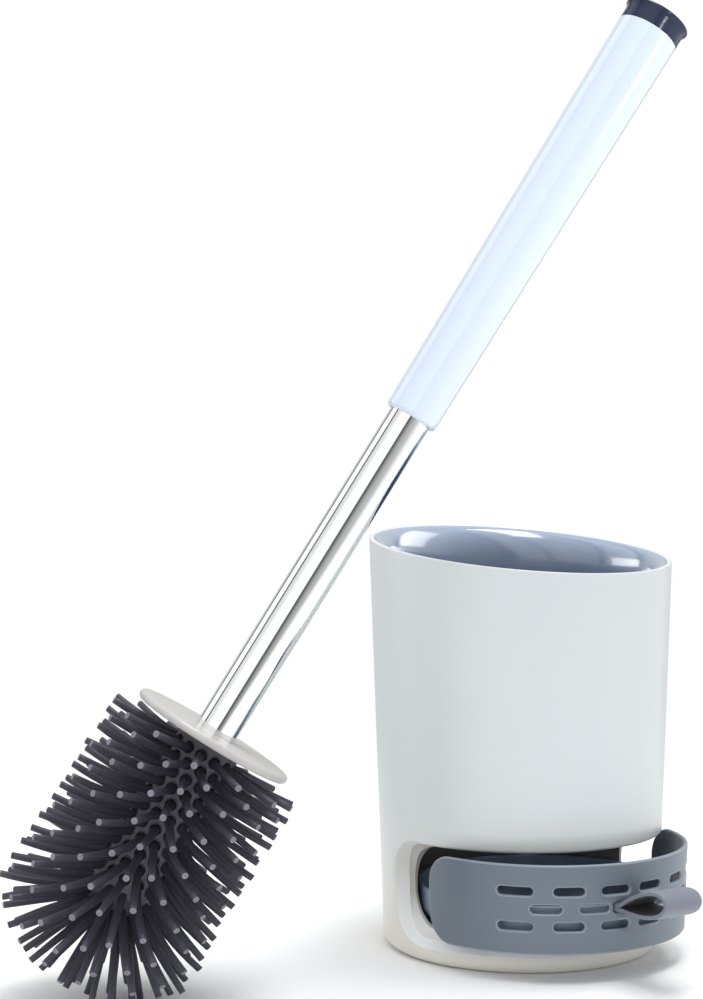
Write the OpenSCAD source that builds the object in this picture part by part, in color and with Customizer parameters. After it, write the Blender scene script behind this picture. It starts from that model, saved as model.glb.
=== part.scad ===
// Toilet brush set: a tapered cup with a glossy liner, a slide-out drip tray
// with a slotted front, and a long-handled silicone brush standing beside it.
// Millimetres, +Z up. The cup stands on z = 0 around the Z axis; its front is -Y.

/* [Cup] */
// Outside radius of the cup at the floor
cup_r = 51.4; // [50:0.2:53]
// Outside radius of the cup 150 mm up
cup_top_r = 56.9; // [55.5:0.2:59]
// Height of the rim where the oblique rim crosses the axis
rim_z = 149; // [135:1:160]
// Slope of the rim in degrees, low at the front
rim_slope = 7.6; // [3:0.2:10]
// Wall of the outer shell above the tray room
shell_wall = 1.9; // [1.6:0.1:2.2]
// Wall of the glossy liner
liner_wall = 1.3; // [1:0.1:1.6]
// Rounding of the cup's bottom edge
foot_round = 5; // [3:0.5:6]

/* [Tray] */
// How far the tray stands out of the cup
tray_out = 14.5; // [0:0.5:40]
// Outside radius of the round pan
pan_r = 46.8; // [46:0.2:46.8]
// Height of the pan's rim above the floor
pan_top = 26.2; // [25:0.2:30]
// Lower edge of the slotted front
front_z0 = 10.3; // [10.1:0.1:11]
// Upper edge of the slotted front
front_z1 = 41.6; // [40:0.2:42]
// Thickness of the slotted front
front_wall = 1.7; // [1.5:0.1:1.8]
// Length of one drain slot
slot_len = 11; // [10:0.2:12]
// Height of one drain slot
slot_high = 2.9; // [2.4:0.1:3.2]
// How far the pull loop stands out of the front
loop_reach = 26; // [22:0.5:32]
// Width of the pull loop's strip
loop_wide = 16.2; // [12:0.2:16.4]

/* [Brush] */
// Overall length of the brush from bristle tips to end cap
brush_len = 385; // [375:1:400]
// Lean of the brush from upright
brush_lean = 31.9; // [28:0.1:34]
// Outside radius of the handle grip at its top
grip_r = 11; // [10.4:0.1:11.4]
// Outside radius of the handle grip at its lower end
grip_low_r = 9.3; // [9:0.1:9.8]
// Outside radius of the steel tube
tube_r = 7.4; // [7.1:0.1:7.6]
// Radius of the splash plate over the bristles
plate_r = 28.8; // [26:0.2:32]
// Reach of the bristle tips from the brush axis
bristle_reach = 36.6; // [34:0.2:37]
// Radius of one bristle
bristle_r = 1.15; // [1:0.05:1.3]

/* [Hidden] */
$fa = 4;
$fs = 0.6;
gap = 0.3;
wall_a = atan((cup_top_r - cup_r) / 150);
function cup_at(z) = cup_r + (cup_top_r - cup_r) * z / 150;

// tray room in the foot of the cup
floor_t = 5.2;
room_r = 47.4;
seat_z = 46.4;
runner_z = 12.5;
step_in = 2.3;

// front window of the cup: outline at the step, and the smaller opening behind it
win_a = 89.5;
win_z0 = 9.2;
win_z1 = 43.4;
win_c = 11;
door_a = 86.5;
door_z0 = runner_z;
door_z1 = 42.9;
door_c = 9;
lip_k = 1.7;

// slotted front
front_a = 88.3;
front_c = 10.6;
row_z = [front_z0 + 22, front_z0 + 15.9, front_z0 + 9.8];
slot_row = [8.5, 27.5, 48.3];
slot_mid = [17.3, 36.4];
flange_z = 12.8;
pan_z = 14;
pan_wall = 1.5;
pan_c = 5;

// pull loop
strip = 1.5;
loop_half = 3.25;
loop_start = 1.2;
loop_tilt = 13;
front_y = cup_at(row_z[1]);

// brush stations along its own axis, measured from the bristle tips
foot_x = -181.5;
foot_y = 11;
foot_z = 6.56;
lean_dir = -25;
core_s0 = 30;
sleeve_s0 = 26;
sleeve_s1 = 94.5;
sleeve_r = 11;
core_r = 7.4;
tube_s0 = 90.2;
plate_s = 94.8;
plate_t = 2.7;
grip_s0 = brush_len - 163;
grip_s1 = brush_len - 7;
tube_s1 = brush_len - 27;
ring_step = 4.72;
ring_n = 13;

// Rounded opening through a round wall, centred on the front.
module opening(a, z0, z1, c, grow = 0) {
    r_mid = 51.9;
    aa = a - asin(c / r_mid);
    rotate([0, 0, -90 - aa]) rotate_extrude(angle = 2 * aa)
        translate([34, z0]) square([30, z1 - z0]);
    for (s = [-1, 1]) rotate([0, 0, s * a]) {
        translate([s > 0 ? -c : 0, -64, z0 + c]) cube([c, 30, z1 - z0 - 2 * c]);
        for (z = [z0 + c, z1 - c])
            translate([-s * c, -34, z]) rotate([90, 0, 0]) cylinder(r = c, h = 30);
    }
}

// The rolled edge around the front window, wide at the ends, narrow above and below.
module window_flare() {
    aa = win_a - asin(win_c / 51.9);
    hang = 51.9 - sqrt(51.9 * 51.9 - win_c * win_c);
    d = step_in - hang;
    far = 4;
    rotate([0, 0, -90 - aa]) rotate_extrude(angle = 2 * aa) {
        polygon([[cup_at(win_z1) - d, win_z1 - 1], [cup_at(win_z1) - d, win_z1],
                 [cup_at(win_z1) + far, win_z1 + lip_k * (d + far)],
                 [cup_at(win_z1) + far, win_z1 - 1]]);
        polygon([[cup_at(win_z0) - d, win_z0 + 1], [cup_at(win_z0) - d, win_z0],
                 [cup_at(win_z0) + far, win_z0 - lip_k * (d + far)],
                 [cup_at(win_z0) + far, win_z0 + 1]]);
    }
    r0 = cup_at((win_z0 + win_z1) / 2) - step_in;
    h = step_in + far;
    for (s = [-1, 1]) rotate([0, 0, s * win_a]) {
        for (z = [win_z0 + win_c, win_z1 - win_c])
            translate([-s * win_c, -r0, z]) rotate([90, 0, 0])
                cylinder(r1 = win_c, r2 = win_c + lip_k * h, h = h);
        translate([0, 0, win_z0 + win_c]) linear_extrude(win_z1 - win_z0 - 2 * win_c)
            polygon([[-s * win_c, -r0], [0, -r0], [s * lip_k * h, -r0 - h],
                     [-s * win_c, -r0 - h]]);
    }
}

// Half-space above the oblique rim.
module above_rim(lower = 0) {
    translate([0, 0, rim_z - lower]) rotate([rim_slope, 0, 0])
        translate([-80, -80, 0]) cube([160, 160, 60]);
}

// Off-white outer shell: tapered wall, floor with runners, and the front window.
module outer_shell() color([0.90, 0.91, 0.90]) difference() {
    top = rim_z + 12;
    union() {
        rotate_extrude() difference() {
            union() {
                xc = cup_at(foot_round) - foot_round / cos(wall_a);
                polygon([[0, 0], [xc, 0],
                         [xc + foot_round * cos(wall_a), foot_round - foot_round * sin(wall_a)],
                         [cup_at(top), top], [0, top]]);
                translate([xc, foot_round]) circle(r = foot_round);
            }
            polygon([[-1, floor_t], [room_r, floor_t], [room_r, seat_z],
                     [cup_at(seat_z) - shell_wall, seat_z],
                     [cup_at(top + 1) - shell_wall, top + 1], [-1, top + 1]]);
        }
        for (x = [-33, -15, 15, 33])
            translate([x - 1, -(abs(x) > 20 ? 33 : 44), floor_t - 0.5])
                cube([2, abs(x) > 20 ? 66 : 88, runner_z - floor_t + 0.5]);
    }
    above_rim();
    difference() {
        union() {
            opening(win_a, win_z0, win_z1, win_c);
            window_flare();
        }
        rotate_extrude() polygon([[0, -5], [cup_at(-5) - step_in, -5],
                                  [cup_at(60) - step_in, 60], [0, 60]]);
    }
    opening(door_a, door_z0, door_z1, door_c);
}

// Glossy slate liner: the well the brush stands in, with a drained floor.
module inner_liner() color([0.42, 0.48, 0.56]) difference() {
    top = rim_z + 12;
    out = shell_wall + 0.1;
    rotate_extrude() difference() {
        polygon([[0, seat_z], [cup_at(seat_z) - out, seat_z], [cup_at(top) - out, top], [0, top]]);
        union() {
            z0 = seat_z + 1.8;
            rr = 7;
            inn = out + liner_wall;
            xc = cup_at(z0 + rr) - inn - rr;
            polygon([[-1, z0], [xc, z0], [xc, z0 + rr], [xc + rr, z0 + rr],
                     [cup_at(top + 1) - inn, top + 1], [-1, top + 1]]);
            translate([xc, z0 + rr]) circle(r = rr);
        }
    }
    above_rim(0.25);
    translate([0, 0, seat_z - 1]) {
        cylinder(r = 3, h = 4);
        for (k = [0:5]) rotate([0, 0, 60 * k]) translate([14, 0, 0]) cylinder(r = 2.6, h = 4);
        for (k = [0:11]) rotate([0, 0, 30 * k + 15]) translate([28, 0, 0]) cylinder(r = 2.6, h = 4);
    }
}

// Round drip pan with a rolled foot edge.
module tray_pan() color([0.62, 0.70, 0.80]) translate([0, -tray_out, 0])
    rotate_extrude() difference() {
        union() {
            polygon([[0, pan_z], [pan_r - pan_c, pan_z], [pan_r - pan_c, pan_z + pan_c],
                     [pan_r, pan_z + pan_c], [pan_r, pan_top - pan_wall / 2],
                     [0, pan_top - pan_wall / 2]]);
            translate([pan_r - pan_c, pan_z + pan_c]) intersection() {
                circle(r = pan_c);
                translate([0, -pan_c]) square([pan_c + 1, pan_c + 0.5]);
            }
            translate([pan_r - pan_wall / 2, pan_top - pan_wall / 2]) circle(r = pan_wall / 2);
        }
        union() {
            z0 = pan_z + pan_wall;
            c = pan_c - pan_wall;
            polygon([[-1, z0], [pan_r - pan_c, z0], [pan_r - pan_c, pan_z + pan_c],
                     [pan_r - pan_wall, pan_z + pan_c], [pan_r - pan_wall, pan_top - pan_wall / 2],
                     [pan_r - pan_wall, pan_top + 1], [-1, pan_top + 1]]);
            translate([pan_r - pan_c, pan_z + pan_c]) circle(r = c);
        }
        translate([-60, 0]) square([60, 60]);
    }

// One drain slot through the front, with eased outer edges.
module drain_slot(a, z, len, high) {
    r = high / 2;
    half = len / 2 - r;
    e = 0.65;
    y1 = cup_at(z) + 2;
    s = cup_at(z) - e;
    rotate([0, 0, a]) {
        for (x = [-half, half]) translate([x, -y1 + 6, z]) rotate([90, 0, 0]) cylinder(r = r, h = 6);
        translate([-half, -y1, z - r]) cube([2 * half, 6, high]);
        for (x = [-half, half]) translate([x, -s, z]) rotate([90, 0, 0])
            cylinder(r1 = r, r2 = r + e * 2, h = e * 2);
        translate([-half, -s, z]) rotate([90, 0, 90]) linear_extrude(2 * half)
            polygon([[0, -r], [-2 * e, -r - 2 * e], [-2 * e, r + 2 * e], [0, r]]);
    }
}

// Slotted half-round front of the tray, with the flange that carries the pan.
module tray_front() color([0.44, 0.48, 0.53]) translate([0, -tray_out, 0]) {
    difference() {
        intersection() {
            rotate_extrude() {
                t = front_wall / 2;
                polygon([[cup_at(front_z0) - front_wall, front_z0], [cup_at(front_z0), front_z0],
                         [cup_at(front_z1 - t), front_z1 - t],
                         [cup_at(front_z1 - t) - front_wall, front_z1 - t]]);
                translate([cup_at(front_z1 - t) - t, front_z1 - t]) circle(r = t);
            }
            opening(front_a, front_z0 - 0.01, front_z1 + 0.01, front_c);
        }
        for (side = [-1, 1]) {
            for (k = [0:2], z = [row_z[0], row_z[2]])
                drain_slot(side * slot_row[k], z, slot_len + (k == 2 ? 1.6 : 0), slot_high);
            for (a = slot_mid) drain_slot(side * a, row_z[1], slot_len, slot_high);
        }
        drain_slot(0, row_z[1], loop_wide + 2.4, 4);
    }
    rotate([0, 0, -90 - 40]) rotate_extrude(angle = 80)
        polygon([[38, flange_z], [cup_at(flange_z) - front_wall / 2, flange_z],
                 [cup_at(pan_z) - front_wall / 2, pan_z], [38, pan_z]]);
}

// Soft pull loop: a strip folded into a drop, whose neck passes through the middle slot.
// Its outline is drawn with the front face of the tray at x = 0 and the room behind it at x > 0.
function drop_x(t) = loop_start + (loop_reach - strip - loop_start) * (1 - cos(t)) / 2;
function drop_y(t) = loop_half / 0.77 * sin(t) * sin(t / 2);
function drop_way(t) = [(loop_reach - strip - loop_start) * sin(t) / 2,
    loop_half / 0.77 * (cos(t) * sin(t / 2) + sin(t) * cos(t / 2) / 2)];
function tilted(p) = [-(p[0] * cos(loop_tilt) - p[1] * sin(loop_tilt)),
    p[0] * sin(loop_tilt) + p[1] * cos(loop_tilt)];
module pull_loop() color([0.47, 0.49, 0.56]) {
    hi = front_wall + 1;
    outside = [for (k = [0:36]) let (t = 16 + k * 328 / 36, w = drop_way(t), l = norm(w))
        tilted([drop_x(t) - w[1] / l * strip, drop_y(t) + w[0] / l * strip])];
    inside = [for (k = [0:35]) let (t = k * 10) tilted([drop_x(t), drop_y(t)])];
    tail = [[-0.2, -strip], [hi, -strip], [hi, -3.6], [hi + 1.5, -3.6], [hi + 1.5, 3.6],
            [hi, 3.6], [hi, strip], [-0.2, strip]];
    translate([-loop_wide / 2, -tray_out - front_y, row_z[1]]) rotate([90, 0, 90])
        linear_extrude(loop_wide) difference() {
            polygon(concat(outside, tail));
            polygon(inside);
        }
}

// Everything on the brush is drawn along its own axis and set down leaning.
module lean() translate([foot_x, foot_y, foot_z]) rotate([0, 0, lean_dir])
    rotate([0, brush_lean, 0]) children();

// Dark flared cap plugged into the top of the grip.
module end_cap() color([0.16, 0.18, 0.27]) lean() rotate_extrude() {
    polygon([[0, grip_s1 - 16], [tube_r - 0.2, grip_s1 - 16], [tube_r, grip_s1 - 14], [tube_r, grip_s1],
             [grip_r, grip_s1], [grip_r, grip_s1 + 4.4], [grip_r + 0.3, grip_s1 + 5.4],
             [grip_r + 0.9, grip_s1 + 6.1], [grip_r + 0.9, grip_s1 + 6.7], [grip_r + 0.5, brush_len],
             [0, brush_len]]);
}

// Glossy white grip sleeve over the upper tube, a little wider at its top.
module handle_grip() color([0.92, 0.94, 0.97]) lean() rotate_extrude() {
    polygon([[tube_r + 0.1, grip_s0], [grip_low_r - 1, grip_s0], [grip_low_r - 0.3, grip_s0 + 0.3],
             [grip_low_r, grip_s0 + 1.2], [grip_r, grip_s1], [tube_r + 0.1, grip_s1]]);
}

// Chromed steel tube from the head up into the grip.
module steel_tube() color([0.78, 0.79, 0.81]) lean() rotate_extrude()
    translate([tube_r - 0.6, tube_s0]) square([0.6, tube_s1 - tube_s0]);

// Threaded plug pressed into the tube's lower end.
module tube_plug() color([0.86, 0.86, 0.84]) lean() rotate_extrude()
    translate([2.9, tube_s0]) square([tube_r - 0.6 - 0.05 - 2.9, 22]);

// Off-white splash plate over the bristles, a thick disc with eased edges.
module splash_plate() color([0.91, 0.90, 0.86]) lean() rotate_extrude() {
    s = plate_s;
    t = plate_t;
    r = plate_r;
    polygon([[tube_r + 0.1, s], [r - 1.2, s], [r - 0.3, s + 0.35], [r, s + 1], [r, s + t - 0.8],
             [r - 0.3, s + t - 0.25], [r - 1.2, s + t], [tube_r + 0.1, s + t]]);
}

// Stiff core of the head with the screw that enters the tube.
module head_core() color([0.30, 0.31, 0.36]) lean() {
    translate([0, 0, core_s0 + core_r]) cylinder(r = core_r, h = tube_s0 - core_s0 - core_r);
    translate([0, 0, core_s0 + core_r]) sphere(r = core_r);
    translate([0, 0, tube_s0 - 1]) cylinder(r = 2.8, h = 17);
}

// Silicone sleeve with its rings of bristles.
module bristle_sleeve() color([0.24, 0.24, 0.29]) lean() {
    dome = sleeve_s0 + sleeve_r;
    rotate_extrude() difference() {
        union() {
            translate([0, dome]) square([sleeve_r, sleeve_s1 - dome]);
            intersection() {
                translate([0, dome]) circle(r = sleeve_r);
                translate([0, dome - 20]) square([20, 21]);
            }
        }
        square([core_r + 0.1, sleeve_s1 + 1]);
    }
    intersection() {
        translate([0, 0, dome]) sphere(r = sleeve_r);
        difference() {
            translate([0, 0, dome - 15]) cylinder(r = core_r + 0.6, h = 15);
            translate([0, 0, core_s0 + core_r]) sphere(r = core_r + 0.1);
            translate([0, 0, core_s0 + core_r]) cylinder(r = core_r + 0.1, h = 20);
        }
    }
    for (i = [0:ring_n - 1], j = [0:13]) {
        tilt = 24 * pow(1 - i / (ring_n - 1), 1.4);
        reach = bristle_reach / cos(tilt) - 0.8 * (1 + sin(97 * i + 61 * j)) / 2;
        translate([0, 0, 33 + ring_step * i]) rotate([0, 0, (j + (i % 2) / 2) * 360 / 14])
            rotate([0, 90 + tilt, 0]) translate([0, 0, 9])
                cylinder(r = bristle_r, h = reach - 9, $fn = 8);
    }
    for (d = [[34, 14, 40], [48, 12, 39.2], [62, 9, 38.4], [76, 5, 37.6], [90, 1, 37]])
        for (j = [0:d[1] - 1])
            translate([0, 0, dome]) rotate([0, 0, (j + d[0] / 40) * 360 / d[1]])
                rotate([0, 90 + d[0], 0]) translate([0, 0, 9.4])
                    cylinder(r = bristle_r, h = d[2] - 9.4 - 0.8 * (j % 2), $fn = 8);
}

outer_shell();
inner_liner();
tray_pan();
tray_front();
pull_loop();
end_cap();
handle_grip();
steel_tube();
tube_plug();
splash_plate();
head_core();
bristle_sleeve();
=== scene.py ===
import math
import random

import bmesh
import bpy
from mathutils import Matrix, Vector
from mathutils.geometry import delaunay_2d_cdt


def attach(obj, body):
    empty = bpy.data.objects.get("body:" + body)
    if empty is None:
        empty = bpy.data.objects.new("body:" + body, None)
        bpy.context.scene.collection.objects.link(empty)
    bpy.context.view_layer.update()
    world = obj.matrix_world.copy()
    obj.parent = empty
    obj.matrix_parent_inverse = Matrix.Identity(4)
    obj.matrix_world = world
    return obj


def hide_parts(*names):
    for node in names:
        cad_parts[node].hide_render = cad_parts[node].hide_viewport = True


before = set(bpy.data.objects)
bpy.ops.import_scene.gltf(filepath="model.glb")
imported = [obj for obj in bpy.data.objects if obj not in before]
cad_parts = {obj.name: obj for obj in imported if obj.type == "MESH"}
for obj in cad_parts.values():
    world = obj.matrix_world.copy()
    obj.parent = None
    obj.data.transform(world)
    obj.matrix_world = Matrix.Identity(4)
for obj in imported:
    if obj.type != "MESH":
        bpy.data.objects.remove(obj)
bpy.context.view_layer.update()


# ---- Outer shell -----------------------------------------------------------------------------
# The body of the cup: one tapered moulding in off-white plastic with a satin skin. Its rim is cut
# on the slant, and a half-round window with a rolled edge lets the drip tray out of its foot.

cup_foot, cup_head = 51.4, 56.9          # outside radius at the floor and 150 mm up
rim_mid, rim_slope = 149.0, math.tan(math.radians(7.6))
shell_wall, room_radius, room_floor, seat = 1.9, 47.4, 5.2, 46.4
unroll = 51.9                            # radius at which the wall is laid out flat
around = 240                             # columns of the wall


def wall_radius(z):
    return cup_foot + (cup_head - cup_foot) * z / 150


def rim_height(turn, radius):
    """Height of the slanted rim at a turn from the front, low at the front."""
    return rim_mid - rim_slope * radius * math.cos(turn)


def rim_line(turn):
    """Height of the rim on the outside of the wall."""
    return rim_height(turn, wall_radius(rim_mid))


def on_wall(u, z, depth=0.0):
    """A point of the flat layout, put back on the tapered wall."""
    r = wall_radius(z) - depth
    return (r * math.sin(u / unroll), -r * math.cos(u / unroll), z)


def rounded_window(half, low, high, corner, steps=14, flats=(56, 10)):
    """Outline of a rounded opening in the flat layout, with its outward normals."""
    points = []
    a, b = half - corner, (high - low) / 2 - corner
    middle = (high + low) / 2
    for cx, cy, start in ((a, b, 0), (-a, b, 90), (-a, -b, 180), (a, -b, 270)):
        for k in range(steps + 1):
            t = math.radians(start + 90 * k / steps)
            n = (math.cos(t), math.sin(t))
            points.append(((cx + corner * n[0], middle + cy + corner * n[1]), n))
        n = (math.cos(math.radians(start + 90)), math.sin(math.radians(start + 90)))
        far = {0: (-a, b), 90: (-a, -b), 180: (a, -b), 270: (a, b)}[start]
        count = flats[0] if start in (0, 180) else flats[1]
        p = points[-1][0]
        q = (far[0] + corner * n[0], middle + far[1] + corner * n[1])
        for k in range(1, count):
            f = k / count
            points.append(((p[0] + (q[0] - p[0]) * f, p[1] + (q[1] - p[1]) * f), n))
    return points


def inside(point, loop):
    x, y = point
    hit = False
    for (x1, y1), (x2, y2) in zip(loop, loop[1:] + loop[:1]):
        if (y1 > y) != (y2 > y) and x < (x2 - x1) * (y - y1) / (y2 - y1) + x1:
            hit = not hit
    return hit


def pierced_sheet(border, holes, fill):
    """Triangles of a flat sheet between a border and its holes. Its first points are the loops'."""
    loops = [border] + holes
    points, edges = [], []
    for loop in loops:
        n = len(points)
        points += [Vector(p) for p in loop]
        edges += [(n + i, n + (i + 1) % len(loop)) for i in range(len(loop))]
    boxes = [(min(p[0] for p in h), max(p[0] for p in h), min(p[1] for p in h),
              max(p[1] for p in h)) for h in holes]

    def open_at(p):
        return any(x0 < p[0] < x1 and y0 < p[1] < y1 and inside(p, h)
                   for h, (x0, x1, y0, y1) in zip(holes, boxes))

    points += [Vector(p) for p in fill if not open_at(p) and inside(p, border)]
    out, _, tris, *_ = delaunay_2d_cdt(points, edges, [], 0, 1e-6)
    kept = []
    for t in tris:
        c = (sum(out[i][0] for i in t) / 3, sum(out[i][1] for i in t) / 3)
        if inside(c, border) and not open_at(c):
            kept.append(tuple(t))
    return [tuple(p) for p in out], kept


class Moulding:
    """Collects points and faces in millimetres, then makes one smooth-skinned piece of them."""

    def __init__(self):
        self.mesh = bmesh.new()

    def points(self, places):
        return [self.mesh.verts.new(Vector(p) * 0.001) for p in places]

    def face(self, *corners):
        if len(set(corners)) > 2:
            self.mesh.faces.new(corners)

    def strip(self, one, other, closed=True):
        n = len(one)
        for i in range(n if closed else n - 1):
            j = (i + 1) % n
            self.face(one[i], one[j], other[j], other[i])

    def sheet(self, flat, tris, place):
        verts = self.points([place(p) for p in flat])
        for t in tris:
            self.face(*[verts[i] for i in t])
        return verts

    def block(self, low, high, ease=0.25):
        """A small box with eased edges, such as a rib."""
        made = bmesh.ops.create_cube(self.mesh, size=1)["verts"]
        size = [h - l for l, h in zip(low, high)]
        for v in made:
            v.co = Vector([(l + s * (c + 0.5)) * 0.001 for l, s, c in zip(low, size, v.co)])
        edges = list({e for v in made for e in v.link_edges})
        bmesh.ops.bevel(self.mesh, geom=edges, offset=ease * 0.001, segments=2, affect="EDGES")

    def finish(self, name, body, node, crease=38, weld=0.004, at=None):
        bmesh.ops.remove_doubles(self.mesh, verts=self.mesh.verts, dist=weld * 0.001)
        bmesh.ops.dissolve_degenerate(self.mesh, edges=self.mesh.edges, dist=1e-7)
        bmesh.ops.recalc_face_normals(self.mesh, faces=self.mesh.faces)
        if at:
            self.mesh.transform(at)
        data = bpy.data.meshes.new(name)
        self.mesh.to_mesh(data)
        self.mesh.free()
        data.shade_smooth()
        data.set_sharp_from_angle(angle=math.radians(crease))
        piece = bpy.data.objects.new(name, data)
        bpy.context.scene.collection.objects.link(piece)
        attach(piece, body)
        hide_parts(node)
        return piece


class Finish:
    """A material being made up. An expression on two of these adds the Math nodes it needs."""

    def __init__(self, tree, socket):
        self.tree, self.socket = tree, socket

    @classmethod
    def start(cls, name, **shader):
        material = bpy.data.materials.new(name)
        material.use_nodes = True
        made = cls(material.node_tree, None)
        made.material = material
        made.skin = next(n for n in made.tree.nodes if n.type == "BSDF_PRINCIPLED")
        for key, value in shader.items():
            made.skin.inputs[key.replace("_", " ")].default_value = value
        return made

    def node(self, kind, settings=None, out=0, **sockets):
        made = self.tree.nodes.new(kind)
        for key, value in (settings or {}).items():
            if key == "stops":
                ramp = made.color_ramp.elements
                while len(ramp) < len(value):
                    ramp.new(0.5)
                for stop, (at, colour) in zip(ramp, value):
                    stop.position = at
                    stop.color = (*colour, 1) if len(colour) == 3 else colour
            else:
                setattr(made, key, value)
        for key, value in sockets.items():
            at = int(key[1:]) if key[1:].isdigit() else key.replace("_", " ")
            if isinstance(value, Finish):
                self.tree.links.new(value.socket, made.inputs[at])
            else:
                made.inputs[at].default_value = value
        return Finish(self.tree, made.outputs[out])

    def maths(self, operation, one, other):
        return self.node("ShaderNodeMath", {"operation": operation}, i0=one, i1=other)

    def __add__(self, other): return self.maths("ADD", self, other)
    def __radd__(self, other): return self.maths("ADD", other, self)
    def __sub__(self, other): return self.maths("SUBTRACT", self, other)
    def __rsub__(self, other): return self.maths("SUBTRACT", other, self)
    def __mul__(self, other): return self.maths("MULTIPLY", self, other)
    def __rmul__(self, other): return self.maths("MULTIPLY", other, self)
    def __truediv__(self, other): return self.maths("DIVIDE", self, other)

    def feed(self, **sockets):
        for key, value in sockets.items():
            self.tree.links.new(value.socket, self.skin.inputs[key.replace("_", " ")])

    def place(self):
        return self.node("ShaderNodeTexCoord", out=3)

    def grain(self, scale, detail=2.0, where=None):
        return self.node("ShaderNodeTexNoise", Vector=where or self.place(), Scale=scale,
                         Detail=detail)

    def mottle(self, low, high, grain, at=(0.3, 0.7)):
        """A colour that wanders with the grain between two near tones."""
        return self.node("ShaderNodeValToRGB", {"stops": list(zip(at, (low, high)))}, Fac=grain)

    def blend(self, mask, one, other):
        return self.node("ShaderNodeMix", {"data_type": "RGBA"}, out=2, i0=mask, i6=one, i7=other)

    def pebble(self, height, strength, depth):
        return self.node("ShaderNodeBump", Height=height, Strength=strength, Distance=depth)


window = dict(half=unroll * math.radians(92.4), low=9.2, high=43.4, corner=12.5)
door = dict(half=unroll * math.radians(88.3), low=12.5, high=42.9, corner=14.5)
step_in, sunk_side = 2.3, 3.9
roll_side, roll_top, roll_foot = 4.0, 0.7, 3.2
foot_round, foot_line, rim_ease = 5.0, 4.9, 0.55

shell = Moulding()
columns = [-math.pi * unroll + 2 * math.pi * unroll * i / around for i in range(around + 1)]
edge = rounded_window(**window)


def rolled(k, last=9):
    """One line of the rolled window edge: k = 0 lies in the wall, k = last at the step."""
    f = k / last
    line = []
    for (u, z), n in edge:
        roll = math.hypot(roll_side * n[0], (roll_top if n[1] > 0 else roll_foot) * n[1])
        deep = math.hypot(sunk_side * n[0], (0.7 if n[1] > 0 else step_in) * n[1])
        out = roll * (1 - f)
        line.append((u + n[0] * out, z + n[1] * out, deep * f ** 1.15))
    return line


outer_lip = [(u, z) for u, z, _ in rolled(0)]
right = unroll * math.pi
side = [foot_line + (rim_height(math.pi, 57) - rim_ease - foot_line) * k / 44 for k in range(45)]
top_line = [(u, rim_line(u / unroll) - rim_ease) for u in columns]
border = [(u, foot_line) for u in columns]
border += [(right, z) for z in side[1:-1]] + [(right, top_line[-1][1])]
border += top_line[-2:0:-1] + [(-right, top_line[0][1])] + [(-right, z) for z in side[-2:0:-1]]
fill = []
for i, u in enumerate(columns[1:-1]):
    for k in range(1, 48):
        z = foot_line + 3.2 * k
        if z < top_line[i + 1][1] - 1.2 and not (
                abs(u) < window["half"] + 7 and window["low"] - 5 < z < window["high"] + 3.6):
            fill.append((u, z))
flat, tris = pierced_sheet(border, [outer_lip], fill)
shell.sheet(flat, tris, lambda p: on_wall(*p))
lines = [shell.points([on_wall(*p) for p in rolled(k)]) for k in range(10)]
for one, other in zip(lines, lines[1:]):
    shell.strip(one, other)
# the rolled edge takes its own copy of the finish: painted shade, with a painted highlight low down
for f in {f for line in lines[1:-1] for v in line for f in v.link_faces}:
    f.material_index = 1
outside = set(shell.mesh.faces)
# the step behind the edge, and the smaller opening through it
gate = rounded_window(**door)
sunk = rolled(9)
for f in (0.3, 0.65, 1.0):
    ring = shell.points([on_wall(e[0] + (g[0][0] - e[0]) * f, e[1] + (g[0][1] - e[1]) * f,
                                 e[2] + (max(e[2], step_in) + 0.15 - e[2]) * f)
                         for e, g in zip(sunk, gate)])
    shell.strip(lines[-1], ring)
    lines.append(ring)


def in_room(u, z, r=room_radius):
    return (r * math.sin(u / unroll), -r * math.cos(u / unroll), z)


inner_gate = shell.points([in_room(*g[0], r=room_radius + 0.1) for g in gate])
shell.strip(lines[-1], inner_gate)
gate_loop = [g[0] for g in gate]
border = [(u, room_floor) for u in columns] + [(right, z) for z in (15, 25, 36)]
border += [(u, seat) for u in reversed(columns)] + [(-right, z) for z in (36, 25, 15)]
fill = [(u, z) for u in columns[1:-1:2] for z in (9, 15, 20, 25, 31, 36, 43)
        if not (abs(u) < door["half"] + 2 and door["low"] - 2 < z < door["high"] + 2)]
flat, tris = pierced_sheet(border, [gate_loop], fill)
shell.sheet(flat, tris, lambda p: in_room(*p))
shell.strip(inner_gate, shell.points([in_room(*g) for g in gate_loop]))
# the step and the room behind it take a darker copy of the finish: painted shade
for f in set(shell.mesh.faces) - outside:
    f.material_index = 2


def ring_of(r, height):
    """A ring of points round the cup; height is a number or a function of the turn."""
    out = []
    for i in range(around):
        t = -math.pi + 2 * math.pi * i / around
        z = height(t) if callable(height) else height
        rr = r(t, z) if callable(r) else r
        out.append((rr * math.sin(t), -rr * math.cos(t), z))
    return out


def rings(piece, steps):
    made = [piece.points(ring_of(r, z)) for r, z in steps]
    for one, other in zip(made, made[1:]):
        piece.strip(one, other)
    return made


# foot rounding and the flat underside, then the room's floor with its runners
steps = []
for k in range(9):
    t = math.radians(90 * k / 8)
    drop = foot_line * (1 - math.sin(t))
    steps.append((wall_radius(foot_line) - foot_round * (1 - math.cos(t)), drop))
made = rings(shell, steps + [(30, 0), (12, 0)])
shell.mesh.faces.new(made[-1])
made = rings(shell, [(room_radius, room_floor), (30, room_floor), (10, room_floor)])
shell.mesh.faces.new(made[-1])
for x, reach in ((-33, 33), (-15, 44), (15, 44), (33, 33)):
    shell.block((x - 1, -reach, room_floor - 0.4), (x + 1, reach, 12.5))
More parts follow.
